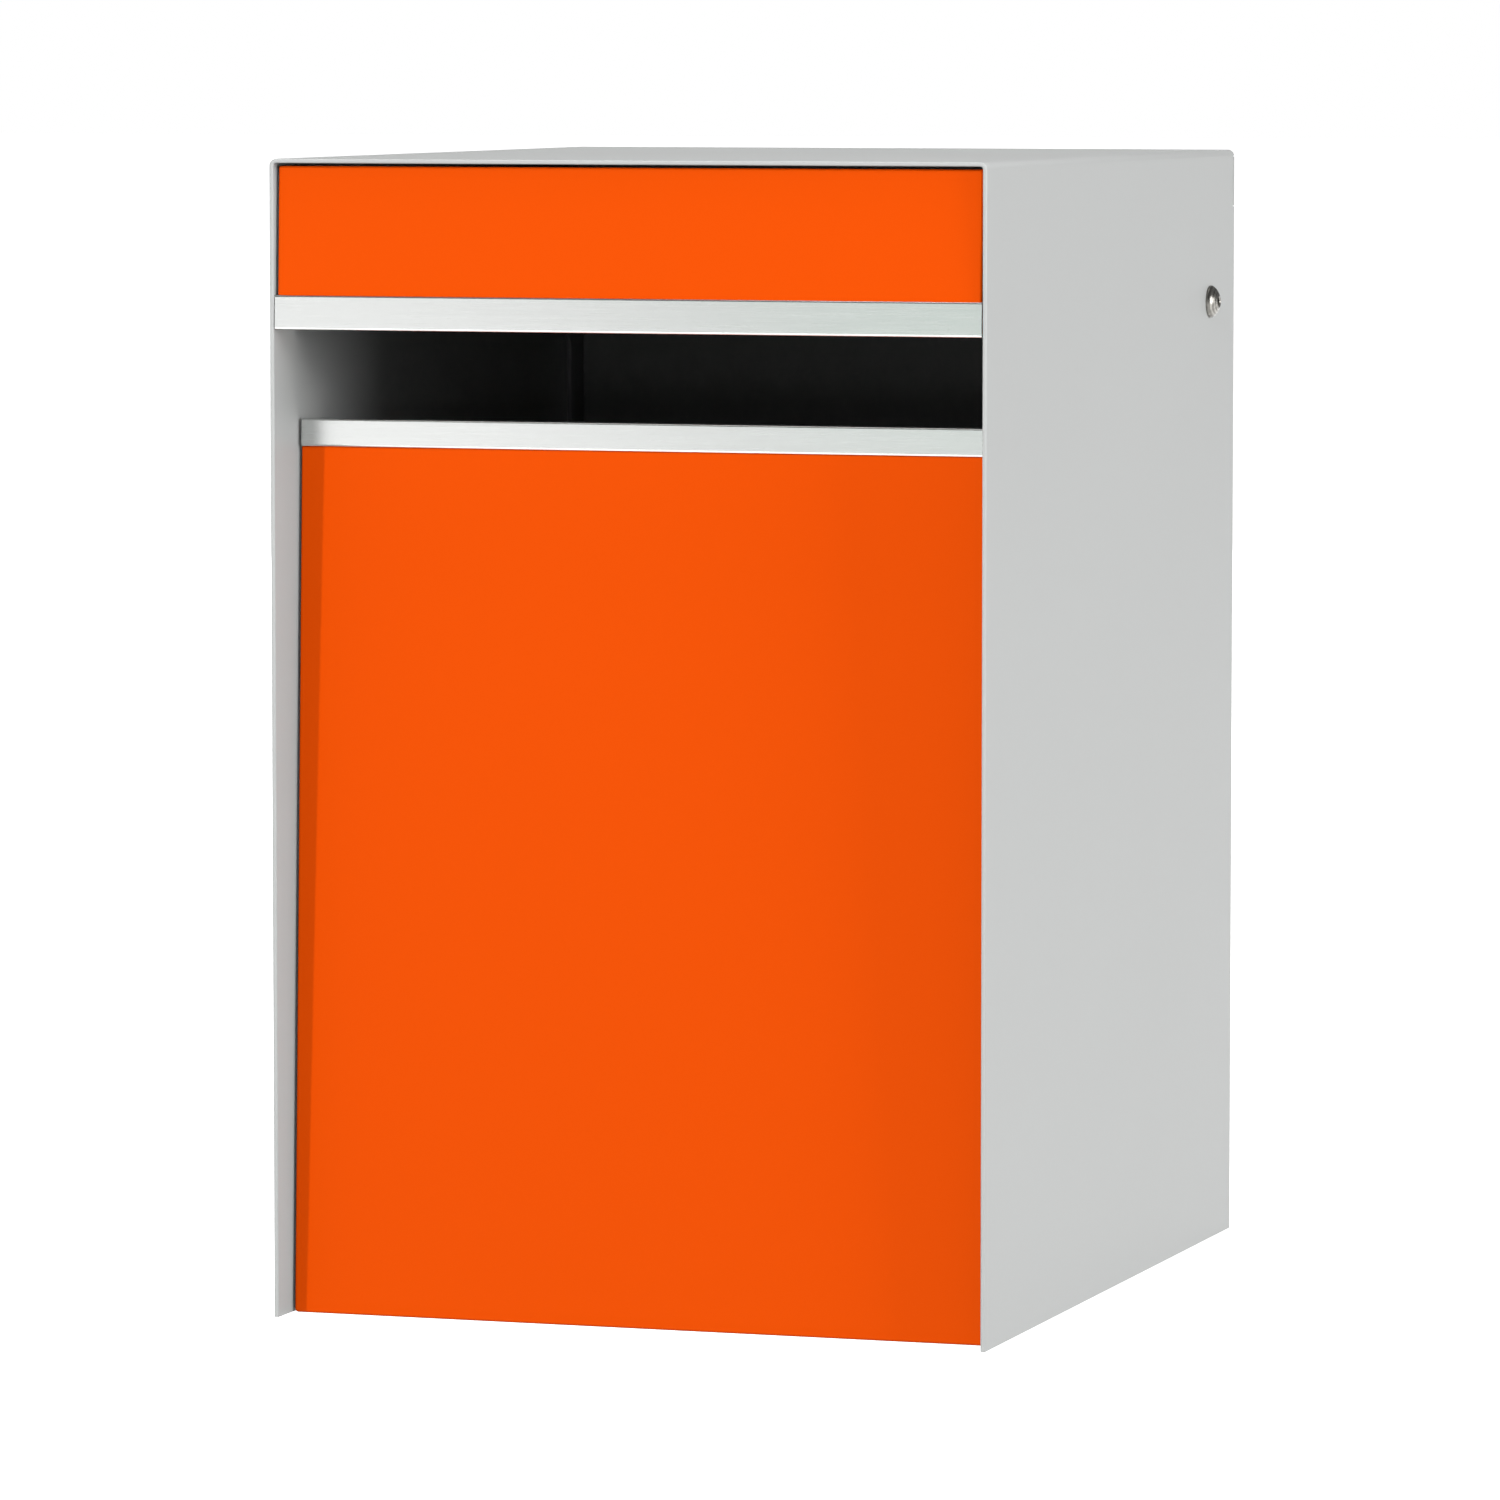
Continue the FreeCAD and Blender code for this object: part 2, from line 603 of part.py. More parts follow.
nodes = {
    "casing": [casing()],
    "upper_fascia": [upper_fascia()],
    "upper_trim": [upper_trim()],
    "upper_trim_tape": [upper_trim_tape()],
    "lower_front_panel": [lower_front_panel()],
    "lower_trim": [lower_trim()],
    "lower_trim_tape": [lower_trim_tape()],
    "floor_pan": [floor_pan()],
    "fascia_studs": both_sides(weld_stud, fascia_fixings),
    "fascia_washers": both_sides(stud_washer(panel_sheet), fascia_fixings),
    "fascia_nuts": both_sides(stud_nut(panel_sheet), fascia_fixings),
    "panel_studs": both_sides(weld_stud, lower_fixings),
    "panel_washers": both_sides(stud_washer(panel_sheet), lower_fixings),
    "panel_nuts": both_sides(stud_nut(panel_sheet), lower_fixings),
    "floor_studs": both_sides(weld_stud, floor_fixings),
    "floor_washers": both_sides(stud_washer(floor_sheet), floor_fixings),
    "floor_nuts": both_sides(stud_nut(floor_sheet), floor_fixings),
    "rear_door": [rear_door()],
    "pivot_screws": each_side(pivot_screw),
    "pivot_bushes": each_side(pivot_bush),
    "pivot_washers": each_side(pivot_washer),
    "pivot_nuts": each_side(pivot_nut),
    "door_bumpers": each_side(door_bumper),
    "lock_body": [lock_body()],
    "lock_nut": [lock_nut()],
    "lock_plug": [lock_plug()],
    "lock_cam": [lock_cam()],
    "cam_screw": [cam_screw()],
}

os.makedirs("parts", exist_ok=True)
for name, solids in nodes.items():
    shape = solids[0] if len(solids) == 1 else Part.makeCompound(solids)
    shape.exportStep("parts/" + name + ".step")
    state = "valid" if shape.isValid() else "INVALID"
    print(name, len(shape.Solids), "solids,", state, round(shape.Volume, 1))
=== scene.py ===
"""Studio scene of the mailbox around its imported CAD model. Units are metres, in the CAD's frame."""
import bmesh
import bpy
import json
import math
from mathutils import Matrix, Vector


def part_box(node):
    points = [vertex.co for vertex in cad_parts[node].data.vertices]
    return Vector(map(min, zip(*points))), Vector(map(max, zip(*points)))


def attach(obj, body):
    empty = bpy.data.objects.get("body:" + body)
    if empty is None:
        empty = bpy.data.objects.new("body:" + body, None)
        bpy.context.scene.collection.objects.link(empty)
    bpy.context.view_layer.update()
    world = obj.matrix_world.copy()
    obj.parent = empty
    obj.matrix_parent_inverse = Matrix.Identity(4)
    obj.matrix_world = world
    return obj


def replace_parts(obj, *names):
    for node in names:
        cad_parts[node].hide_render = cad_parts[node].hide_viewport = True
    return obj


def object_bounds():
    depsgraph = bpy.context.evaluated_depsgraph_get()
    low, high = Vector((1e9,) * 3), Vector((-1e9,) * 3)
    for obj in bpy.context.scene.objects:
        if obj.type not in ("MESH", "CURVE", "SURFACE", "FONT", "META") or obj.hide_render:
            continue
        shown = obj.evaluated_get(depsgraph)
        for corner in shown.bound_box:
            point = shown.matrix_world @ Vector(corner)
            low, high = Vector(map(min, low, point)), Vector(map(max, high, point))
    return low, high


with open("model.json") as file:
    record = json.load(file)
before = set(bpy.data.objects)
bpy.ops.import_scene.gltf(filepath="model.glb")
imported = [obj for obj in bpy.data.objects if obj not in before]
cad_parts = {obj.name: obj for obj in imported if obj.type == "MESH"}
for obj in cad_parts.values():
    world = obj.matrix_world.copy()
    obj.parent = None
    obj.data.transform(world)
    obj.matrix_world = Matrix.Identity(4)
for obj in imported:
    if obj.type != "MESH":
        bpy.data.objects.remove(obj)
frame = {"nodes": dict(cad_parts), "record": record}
cad_low, cad_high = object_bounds()
nodes = frame["nodes"]
record = frame["record"]
body_of = {node: body for body, members in record["behaviour"]["bodies"].items() for node in members}
slot_of = {subpart["node"]: subpart["material_slot"] for subpart in record["subparts"]}
MM = 0.001
MICRON = 0.000001
MERGE_DISTANCE = MICRON             # vertices of a CAD mesh this near to each other are one

# ---- colours (linear) -------------------------------------------------------------------------------
SILVER_GREY = (0.600, 0.612, 0.606)
ORANGE = (0.930, 0.090, 0.0012)
STAINLESS = (0.64, 0.65, 0.64)
TURNED_STEEL = (0.25, 0.242, 0.222)
ZINC = (0.60, 0.62, 0.64)
CHROME = (0.50, 0.50, 0.51)
NYLON = (0.72, 0.70, 0.62)
TAPE = (0.05, 0.05, 0.055)
RUBBER = (0.022, 0.022, 0.022)


# ---- node helpers -----------------------------------------------------------------------------------
WAVES_PER_UNIT = math.pi / 10       # a wave texture of this scale repeats once in each unit


class Tree:
    """A node tree, with short calls that add a node and link its inputs."""

    def __init__(self, tree):
        self.tree = tree

    def add(self, kind, **settings):
        node = self.tree.nodes.new(kind)
        for key, value in settings.items():
            setattr(node, key, value)
        return node

    def put(self, socket, value):
        """Link an output to a socket, or set the socket to a plain value. None leaves it alone."""
        if isinstance(value, bpy.types.NodeSocket):
            self.tree.links.new(value, socket)
        elif value is not None:
            socket.default_value = value

    def math(self, operation, *values):
        node = self.add("ShaderNodeMath", operation=operation)
        for socket, value in zip(node.inputs, values):
            self.put(socket, value)
        return node.outputs[0]


class Material(Tree):
    """A material whose patterns lie in its piece's own coordinates."""

    def __init__(self, name):
        self.material = bpy.data.materials.new(name)
        self.material.use_nodes = True
        super().__init__(self.material.node_tree)
        self.shader = self.tree.nodes["Principled BSDF"]
        self.place = self.add("ShaderNodeTexCoord").outputs["Object"]

    def mapped(self, stretch=(1, 1, 1), shift=(0, 0, 0)):
        mapping = self.add("ShaderNodeMapping")
        self.put(mapping.inputs["Vector"], self.place)
        mapping.inputs["Location"].default_value = shift
        mapping.inputs["Scale"].default_value = stretch
        return mapping.outputs[0]

    def noise(self, scale, detail=2.0, stretch=(1, 1, 1), roughness=0.5):
        node = self.add("ShaderNodeTexNoise")
        self.put(node.inputs["Vector"], self.mapped(stretch))
        node.inputs["Scale"].default_value = scale
        node.inputs["Detail"].default_value = detail
        node.inputs["Roughness"].default_value = roughness
        return node.outputs["Fac"]

    def rings(self, axis, centre, spacing, distortion):
        """Fine circles round an axis through a point, as a lathe leaves them."""
        node = self.add("ShaderNodeTexWave", wave_type="RINGS", rings_direction=axis)
        self.put(node.inputs["Vector"], self.mapped(shift=tuple(-value for value in centre)))
        node.inputs["Scale"].default_value = WAVES_PER_UNIT / spacing
        node.inputs["Distortion"].default_value = distortion
        node.inputs["Detail"].default_value = 2.0
        return node.outputs["Fac"]

    def span(self, value, low, high, start=0.0, end=1.0):
        """A value between start and end, spread between low and high."""
        node = self.add("ShaderNodeMapRange")
        self.put(node.inputs["Value"], value)
        node.inputs["From Min"].default_value = start
        node.inputs["From Max"].default_value = end
        node.inputs["To Min"].default_value = low
        node.inputs["To Max"].default_value = high
        return node.outputs[0]

    def tint(self, colour, brightness):
        """The colour times a varying brightness."""
        node = self.add("ShaderNodeVectorMath", operation="SCALE")
        node.inputs[0].default_value = colour
        self.put(node.inputs["Scale"], brightness)
        return node.outputs[0]

    def bump(self, height, distance, strength, under=None):
        """A relief of this depth in metres, on top of another relief."""
        node = self.add("ShaderNodeBump")
        node.inputs["Distance"].default_value = distance
        node.inputs["Strength"].default_value = strength
        self.put(node.inputs["Height"], height)
        self.put(node.inputs["Normal"], under)
        return node.outputs[0]

    def finish(self, colour, roughness, relief=None, metallic=0.0):
        self.put(self.shader.inputs["Base Color"], colour)
        self.put(self.shader.inputs["Roughness"], roughness)
        self.put(self.shader.inputs["Normal"], relief)
        self.shader.inputs["Metallic"].default_value = metallic
        return self.material


# ---- materials --------------------------------------------------------------------------------------
def powder_coat(name, colour, roughness, specular, painted_bounce_grey):
    """Baked powder: fine orange peel, a finer grain and a slight drift in colour and gloss.

    The bounce grey is a flat grey that bounced light takes from the paint in place of its colour. It is
    painted light and shade on whatever the paint lights by bouncing: near black on the casing so that
    its inside stays dark, neutral grey on the orange so that it tints nothing beside it.
    """
    m = Material(name)
    drift = m.noise(9.0)
    grain = m.noise(2600.0, detail=1.0)
    peel = m.noise(700.0)
    brightness = m.math("ADD", m.span(drift, -0.012, 0.012), m.span(grain, 0.985, 1.015))
    gloss = m.span(peel, roughness - 0.04, roughness + 0.04)
    relief = m.bump(grain, 4 * MICRON, 0.6, under=m.bump(peel, 20 * MICRON, 0.5))
    # painted bounce: matt rays that bounce off the paint see a flat grey instead of its colour
    colour_or_painted_bounce = m.add("ShaderNodeMix", data_type="RGBA")
    m.put(colour_or_painted_bounce.inputs["Factor"], m.add("ShaderNodeLightPath").outputs["Is Diffuse Ray"])
    m.put(colour_or_painted_bounce.inputs["A"], m.tint(colour, brightness))
    colour_or_painted_bounce.inputs["B"].default_value = (painted_bounce_grey, painted_bounce_grey, painted_bounce_grey, 1.0)
    m.shader.inputs["Specular IOR Level"].default_value = specular
    return m.finish(colour_or_painted_bounce.outputs["Result"], gloss, relief)


def brushed_steel(name, colour, along, roughness):
    """Long fine scratches along one axis."""
    m = Material(name)
    stretch = tuple(0.012 if axis == along else 1.0 for axis in "XYZ")
    fine = m.noise(5200.0, detail=3.0, stretch=stretch, roughness=0.65)
    broad = m.noise(900.0, stretch=stretch)
    brightness = m.math("ADD", m.span(broad, -0.03, 0.03), m.span(fine, 0.94, 1.05))
    gloss = m.span(fine, roughness - 0.05, roughness + 0.05)
    return m.finish(m.tint(colour, brightness), gloss, m.bump(fine, 4 * MICRON, 0.7), metallic=1.0)


def turned_steel(name, colour, centre):
    """Lathe-turned stainless: fine circles round the pivots' axis, with a few deeper ones."""
    m = Material(name)
    fine = m.rings("X", centre, spacing=0.2 * MM, distortion=1.5)
    deep = m.rings("X", centre, spacing=1.1 * MM, distortion=2.5)
    grime = m.noise(700.0, detail=3.0)
    rings = m.math("MULTIPLY", m.span(fine, 0.90, 1.08), m.span(deep, 0.62, 1.25))
    brightness = m.math("MULTIPLY", rings, m.span(grime, 0.7, 1.3, start=0.3, end=0.7))
    relief = m.bump(deep, 40 * MICRON, 0.6, under=m.bump(fine, 10 * MICRON, 0.7))
    return m.finish(m.tint(colour, brightness), m.span(fine, 0.20, 0.34), relief, metallic=1.0)


def plated_steel(name, colour, roughness):
    """Zinc plate: small cloudy patches and a faint grain."""
    m = Material(name)
    cloud = m.noise(260.0, detail=4.0)
    grain = m.noise(3000.0)
    brightness = m.math("ADD", m.span(cloud, -0.08, 0.08), m.span(grain, 0.95, 1.05))
    gloss = m.span(cloud, roughness - 0.08, roughness + 0.1)
    return m.finish(m.tint(colour, brightness), gloss, m.bump(grain, 6 * MICRON, 0.5), metallic=1.0)


def polished_chrome(name, colour):
    """Chrome plate with a slight haze and hairline scratches."""
    m = Material(name)
    haze = m.noise(120.0, detail=3.0)
    scratches = m.noise(4000.0, stretch=(1.0, 1.0, 0.05))
    return m.finish(m.tint(colour, m.span(haze, 0.96, 1.03)), m.span(scratches, 0.06, 0.16),
                    m.bump(scratches, MICRON, 0.5), metallic=1.0)


def moulded(name, colour, roughness, scale, depth):
    """Moulded plastic or rubber: a fine mould texture and slight shade changes."""
    m = Material(name)
    drift = m.noise(80.0)
    grain = m.noise(scale)
    brightness = m.math("ADD", m.span(drift, -0.04, 0.04), m.span(grain, 0.95, 1.05))
    gloss = m.span(grain, roughness - 0.06, roughness + 0.06)
    return m.finish(m.tint(colour, brightness), gloss, m.bump(grain, depth, 0.6))


pivot_low, pivot_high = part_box("pivot_screws")
materials = {
    # the bounce greys are painted light and shade: near black keeps the casing's inside dark, a neutral
    # grey keeps the orange from tinting its neighbours
    "casing_paint": powder_coat("casing_paint", SILVER_GREY, 0.44, specular=0.1, painted_bounce_grey=0.03),
    "accent_paint": powder_coat("accent_paint", ORANGE, 0.46, specular=0.03, painted_bounce_grey=0.5),
    "stainless_trim": brushed_steel("stainless_trim", STAINLESS, "X", 0.26),
    "stainless_screw": turned_steel("stainless_screw", TURNED_STEEL, (pivot_low + pivot_high) / 2),
    "zinc_fixing": plated_steel("zinc_fixing", ZINC, 0.3),
    "lock_chrome": polished_chrome("lock_chrome", CHROME),
    "bush_plastic": moulded("bush_plastic", NYLON, 0.5, scale=1500.0, depth=10 * MICRON),
    "bonding_tape": moulded("bonding_tape", TAPE, 0.7, scale=2500.0, depth=20 * MICRON),
    "bumper_rubber": moulded("bumper_rubber", RUBBER, 0.75, scale=2000.0, depth=20 * MICRON),
}


# ---- CAD pieces that stay, with the small rounding that coating and deburring leave -----------------
EDGE_ANGLE = math.radians(40)       # edges sharper than this are rounded, or shaded as sharp
SHEET_EDGE = 0.25 * MM
FINE_EDGE = 0.12 * MM
EDGE_SEGMENTS = 3


def paint(node):
    piece = nodes[node]
    piece.data.materials.clear()
    piece.data.materials.append(materials[slot_of[node]])


def soften(node, radius):
    """Round the sharp edges of a CAD piece with modifiers, which leave its own mesh as it is."""
    piece = nodes[node]
    weld = piece.modifiers.new("weld", "WELD")
    weld.merge_threshold = MERGE_DISTANCE
    bevel = piece.modifiers.new("edges", "BEVEL")
    bevel.width = radius
    bevel.segments = EDGE_SEGMENTS
    bevel.limit_method = "ANGLE"
    bevel.angle_limit = EDGE_ANGLE
    bevel.harden_normals = True


for name in nodes:
    paint(name)
for name in ("casing", "upper_fascia", "lower_front_panel", "floor_pan", "rear_door", "lock_cam"):
    soften(name, SHEET_EDGE)
for name in ("upper_trim", "lower_trim", "lock_plug", "cam_screw"):
    soften(name, FINE_EDGE)


# ---- turned pieces ----------------------------------------------------------------------------------
SEGMENTS = 36                       # round a small fixing
FINE_SEGMENTS = 72                  # round a pivot screw or a piece of the lock
THREAD_STEPS = 6                    # rings in each turn of a thread
THREAD_DEPTH = 0.61                 # share of the pitch
THREAD_START = 0.05 * MM            # gap between a thread and what it grows from
TIP = 0.5 * MM                      # length of a thread's tapered tip
TIP_SHARE = 0.7                     # radius of the tip's end, as a share of the thread's


def hexagon(flats):
    """Radius of a hexagon at an angle, from its width over flats."""
    return lambda turn: flats / 2 / math.cos((turn + math.pi / 6) % (math.pi / 3) - math.pi / 6)


def limited(shape, limit):
    return lambda turn: min(shape(turn), limit)


def spaced(low, high, count):
    return [low + (high - low) * i / (count - 1) for i in range(count)]


def thread(start, end, radius, pitch):
    """Rings of a screw thread, whose crest winds once round in each pitch."""
    depth = THREAD_DEPTH * pitch

    def ring(distance):
        return lambda turn: radius - depth * abs(2 * ((distance / pitch - turn / math.tau) % 1) - 1)
    count = math.ceil((end - start) / pitch * THREAD_STEPS)
    return [(distance, ring(distance)) for distance in spaced(start, end, count)]


def threaded_end(start, length, radius, pitch):
    """Rings of a thread with a tapered tip."""
    rings = thread(start + THREAD_START, length - TIP, radius, pitch)
    return rings + [(length, TIP_SHARE * radius)]


def turn_piece(mesh, start, along, rings, hollow=False, segments=SEGMENTS):
    """Add a solid to a mesh from rings of (distance along the axis, radius), each radius a number or
    a function of the angle. A hollow one closes from its last ring back to its first."""
    across = Vector((0.0, 0.0, 1.0))
    side = along.cross(across)
    loops = []
    for distance, radius in rings:
        loop = []
        for turn in [math.tau * i / segments for i in range(segments)]:
            reach = radius(turn) if callable(radius) else radius
            out = across * math.cos(turn) + side * math.sin(turn)
            loop.append(mesh.verts.new(start + along * distance + out * reach))
        loops.append(loop)
    pairs = list(zip(loops, loops[1:]))
    if hollow:
        pairs.append((loops[-1], loops[0]))
    else:
        mesh.faces.new(loops[0])
        mesh.faces.new(loops[-1])
    for first, second in pairs:
        for i in range(segments):
            j = (i + 1) % segments
            mesh.faces.new((first[i], first[j], second[j], second[i]))


def solids(node):
    """(lowest corner, highest corner) of each separate solid in a CAD node."""
    mesh = bmesh.new()
    mesh.from_mesh(nodes[node].data)
    bmesh.ops.remove_doubles(mesh, verts=mesh.verts, dist=MERGE_DISTANCE)
    waiting = set(mesh.verts)
    boxes = []
    while waiting:
        island = [waiting.pop()]
        for vertex in island:
            for edge in vertex.link_edges:
                other = edge.other_vert(vertex)
                if other in waiting:
                    waiting.remove(other)
                    island.append(other)
        low = Vector([min(vertex.co[axis] for vertex in island) for axis in range(3)])
        high = Vector([max(vertex.co[axis] for vertex in island) for axis in range(3)])
        boxes.append((low, high))
    mesh.free()
    return sorted(boxes, key=lambda corners: tuple(corners[0]))


def add_piece(name, mesh, slot, body):
    """Make a mesh a smooth-shaded piece that rides on a CAD body."""
    bmesh.ops.recalc_face_normals(mesh, faces=mesh.faces)
    data = bpy.data.meshes.new(name)
    mesh.to_mesh(data)
    mesh.free()
    data.materials.append(materials[slot])
    data.shade_smooth()
    data.set_sharp_from_angle(angle=EDGE_ANGLE)
    piece = bpy.data.objects.new(name, data)
    bpy.context.scene.collection.objects.link(piece)
    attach(piece, body)
    return piece


def remake(node, name, build):
    """Put a finer mesh in place of a CAD node. `build` adds one solid to it for each CAD solid's box."""
    mesh = bmesh.new()
    for low, high in solids(node):
        build(mesh, low, high)
    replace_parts(add_piece(name, mesh, slot_of[node], body_of[node]), node)


def wall_axis(low, high):
    """Outer end, inward direction, length and radius of a fixing that stands on a side wall."""
    centre = (low + high) / 2
    side = 1.0 if centre.x > 0 else -1.0
    start = Vector((high.x if side > 0 else low.x, centre.y, centre.z))
    return start, Vector((-side, 0.0, 0.0)), high.x - low.x, (high.z - low.z) / 2


# ---- studs, washers and nuts on the walls -----------------------------------------------------------
STUD_RADIUS = 2.0 * MM
STUD_PITCH = 0.7 * MM
STUD_BASE = 0.8 * MM                # a stud's base fills the gap between a wall and a panel
STUD_NUT_FLATS = 7.0 * MM
BORE_CLEARANCE = 0.02 * MM
WASHER_CLEARANCE = 0.3 * MM
WASHER_EDGE = 0.12                  # share of a washer's thickness
NUT_FACE = 0.475                    # radius of a nut's flat face, as a share of its width over flats
NUT_SINK = 0.08                     # countersink of its bore, as the same share
NUT_CHAMFER = math.radians(30)
CHAMFER_STEPS = 4


def weld_stud(mesh, low, high):
    """Round base with a softened rim, and a threaded shank."""
    start, inward, length, base_radius = wall_axis(low, high)
    rings = [(0.0, base_radius), (0.75 * STUD_BASE, base_radius), (STUD_BASE, 0.93 * base_radius),
             (STUD_BASE, STUD_RADIUS)]
    rings += threaded_end(STUD_BASE, length, STUD_RADIUS, STUD_PITCH)
    turn_piece(mesh, start, inward, rings)


def washer(bore):
    """Builder of a flat washer with broken edges."""
    def build(mesh, low, high):
        start, inward, length, radius = wall_axis(low, high)
        edge = WASHER_EDGE * length
        rings = [(0.0, bore), (0.0, radius - edge), (edge, radius), (length - edge, radius),
                 (length, radius - edge), (length, bore + edge), (length - edge, bore)]
        turn_piece(mesh, start, inward, rings, hollow=True)
    return build


def nut_rings(flats, height, bore):
    """Rings of a hexagon nut whose corners are turned off at its ends. The last two sink its bore."""
    shape = hexagon(flats)
    face = NUT_FACE * flats
    corner = flats / math.sqrt(3)
    depth = (corner - face) * math.tan(NUT_CHAMFER)
    lower = [(depth * i / CHAMFER_STEPS, limited(shape, face + (corner - face) * i / CHAMFER_STEPS))
             for i in range(CHAMFER_STEPS + 1)]
    upper = [(height - distance, radius) for distance, radius in reversed(lower)]
    sink = NUT_SINK * flats
    return ([(sink / 2, bore), (0.0, bore + sink / 2)] + lower + upper
            + [(height, bore + sink / 2), (height - sink / 2, bore)])


def stud_nut(mesh, low, high):
    start, inward, height, _ = wall_axis(low, high)
    rings = nut_rings(STUD_NUT_FLATS, height, STUD_RADIUS + BORE_CLEARANCE)
    turn_piece(mesh, start, inward, rings, hollow=True)


for group in ("fascia", "panel", "floor"):
    remake(group + "_studs", "threaded_" + group + "_studs", weld_stud)
    remake(group + "_washers", "flat_" + group + "_washers", washer(STUD_RADIUS + WASHER_CLEARANCE))
    remake(group + "_nuts", "chamfered_" + group + "_nuts", stud_nut)


# ---- pivots -----------------------------------------------------------------------------------------
SHOULDER_RADIUS = 3.0 * MM
PIVOT_THREAD_RADIUS = 2.5 * MM
PIVOT_THREAD_LENGTH = 7.5 * MM
PIVOT_PITCH = 0.8 * MM
PIVOT_BORE = PIVOT_THREAD_RADIUS + BORE_CLEARANCE
HEAD_RIM = 1.0 * MM                 # height of a screw head's straight rim
HEAD_EDGE = 0.15 * MM
DOME_STEPS = 12
SOCKET_FLATS = 3.0 * MM
SOCKET_DEPTH = 1.8 * MM
SOCKET_MOUTH = 1.18                 # radius of the socket's mouth, as a share of its corners'
PIVOT_NUT_FLATS = 8.0 * MM
COLLAR = 1.5 * MM                   # height of a lock nut's round collar, which holds its nylon ring
COLLAR_RADIUS = 0.45 * PIVOT_NUT_FLATS
COLLAR_BORE = COLLAR_RADIUS - 0.6 * MM
COLLAR_LIP = 0.2 * MM               # the collar stands this far above the room for the ring
INSERT_DEPTH = 1.2 * MM
BUSH_BORE = 3.05 * MM
BUSH_WALL = 1.0 * MM
BUSH_FLANGE = 1.0 * MM
BUSH_EDGE = 0.2 * MM
wall_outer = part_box("casing")[1].x


def shoulder_screw(mesh, low, high):
    """Domed head with a hexagon socket, a shoulder and a threaded end."""
    start, inward, length, radius = wall_axis(low, high)
    head = cad_high.x - wall_outer
    rise = head - HEAD_RIM
    dome = (radius ** 2 + rise ** 2) / (2 * rise)
    socket = hexagon(SOCKET_FLATS)
    mouth = SOCKET_MOUTH * SOCKET_FLATS / math.sqrt(3)
    shoulder_end = length - PIVOT_THREAD_LENGTH
    rings = [(SOCKET_DEPTH, 0.05 * MM), (0.87 * SOCKET_DEPTH, socket),
             (dome - math.sqrt(dome ** 2 - mouth ** 2) + 0.35 * MM, socket)]
    rings += [(dome - math.sqrt(dome ** 2 - reach ** 2), reach)
              for reach in spaced(mouth, radius, DOME_STEPS)[:-1]]
    rings += [(rise - 0.02 * MM, 0.985 * radius), (rise + 0.2 * MM, radius), (head - HEAD_EDGE, radius),
              (head, radius - HEAD_EDGE), (head, SHOULDER_RADIUS), (shoulder_end, SHOULDER_RADIUS),
              (shoulder_end, PIVOT_THREAD_RADIUS)]
    rings += threaded_end(shoulder_end, length, PIVOT_THREAD_RADIUS, PIVOT_PITCH)
    turn_piece(mesh, start, inward, rings, segments=FINE_SEGMENTS)


def flanged_bush(mesh, low, high):
    start, inward, length, radius = wall_axis(low, high)
    sleeve = BUSH_BORE + BUSH_WALL
    rings = [(BUSH_EDGE, BUSH_BORE), (0.0, BUSH_BORE + BUSH_EDGE), (0.0, radius - BUSH_EDGE),
             (BUSH_EDGE, radius), (BUSH_FLANGE - BUSH_EDGE, radius), (BUSH_FLANGE, radius - BUSH_EDGE),
             (BUSH_FLANGE, sleeve), (length - BUSH_EDGE, sleeve), (length, sleeve - BUSH_EDGE),
             (length, BUSH_BORE)]
    turn_piece(mesh, start, inward, rings, hollow=True)


def lock_nut_body(mesh, low, high):
    """Hexagon nut with a round collar, which is hollow for the nylon ring."""
    start, inward, length, _ = wall_axis(low, high)
    seat = length - COLLAR_LIP - INSERT_DEPTH
    rings = nut_rings(PIVOT_NUT_FLATS, length - COLLAR, PIVOT_BORE)[:-2]
    rings += [(length - COLLAR, COLLAR_RADIUS), (length - 0.5 * MM, COLLAR_RADIUS),
              (length - 0.15 * MM, COLLAR_RADIUS - 0.12 * MM), (length, COLLAR_RADIUS - 0.4 * MM),
              (length, COLLAR_BORE), (length - COLLAR_LIP, COLLAR_BORE), (seat, COLLAR_BORE),
              (seat, PIVOT_BORE)]
    turn_piece(mesh, start, inward, rings, hollow=True)


def nylon_ring(mesh, low, high):
    """Ring in a lock nut's collar, placed from the nut's own box."""
    start, inward, length, _ = wall_axis(low, high)
    near = length - COLLAR_LIP - INSERT_DEPTH
    far = length - 0.25 * MM
    rings = [(near, PIVOT_BORE), (near, COLLAR_BORE), (far, COLLAR_BORE),
             (far + 0.05 * MM, COLLAR_BORE - 0.1 * MM), (far + 0.05 * MM, PIVOT_BORE + 0.25 * MM),
             (far - 0.15 * MM, PIVOT_BORE)]
    turn_piece(mesh, start, inward, rings, hollow=True)


remake("pivot_screws", "shoulder_screws", shoulder_screw)
remake("pivot_bushes", "flanged_bushes", flanged_bush)
remake("pivot_washers", "flat_pivot_washers", washer(PIVOT_THREAD_RADIUS + WASHER_CLEARANCE))
remake("pivot_nuts", "pivot_lock_nuts", lock_nut_body)
inserts = bmesh.new()
for corner_low, corner_high in solids("pivot_nuts"):
    nylon_ring(inserts, corner_low, corner_high)
add_piece("nylon_inserts", inserts, "bush_plastic", body_of["pivot_nuts"])


# ---- cam lock and rubber bumpers --------------------------------------------------------------------
LOCK_BORE = 5.98 * MM
BARREL_RADIUS = 8.0 * MM
BARREL_PITCH = 1.0 * MM
BARREL_NECK = 1.6 * MM              # plain length of the barrel, where it passes through the door
BARREL_NUT_FLATS = 21.0 * MM
FORWARD = Vector((0.0, -1.0, 0.0))


def lock_axis(low, high):
    """Rear end, length and radius of a piece on the lock's axis."""
    centre = (low + high) / 2
    return Vector((centre.x, high.y, centre.z)), high.y - low.y, (high.z - low.z) / 2


